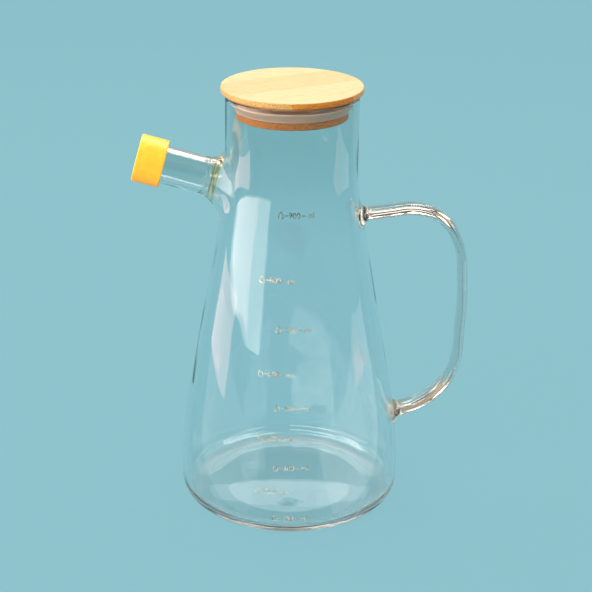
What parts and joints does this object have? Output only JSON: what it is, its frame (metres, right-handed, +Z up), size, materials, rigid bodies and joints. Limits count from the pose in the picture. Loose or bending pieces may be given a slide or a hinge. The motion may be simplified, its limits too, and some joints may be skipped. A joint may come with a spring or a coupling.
{
  "type": "glass oil cruet with handle, spout and lid",
  "caption": "Clear glass oil cruet: conical body with straight neck, side spout under a yellow silicone cap, oval strap handle, and a bamboo lid with a silicone seal.",
  "frame": {"origin": "centre of the flat underside, on the body's axis", "axes": "+Z up along the body's axis, -X towards the spout, +X towards the handle"},
  "size_m": [0.1624, 0.1086, 0.21],
  "materials": {
    "glass": "clear blown borosilicate glass, fire polished",
    "bamboo": "sanded bamboo with a light oil finish",
    "clear_silicone": "milky translucent silicone, moulded",
    "yellow_silicone": "yellow silicone, moulded, satin",
    "print": "fired metallic print of the graduations"
  },
  "bodies": {
    "root": {"glass_vessel": "glass", "bamboo_lid": "bamboo", "lid_seal": "clear_silicone", "spout_cap": "yellow_silicone"}
  },
  "joints": []
}
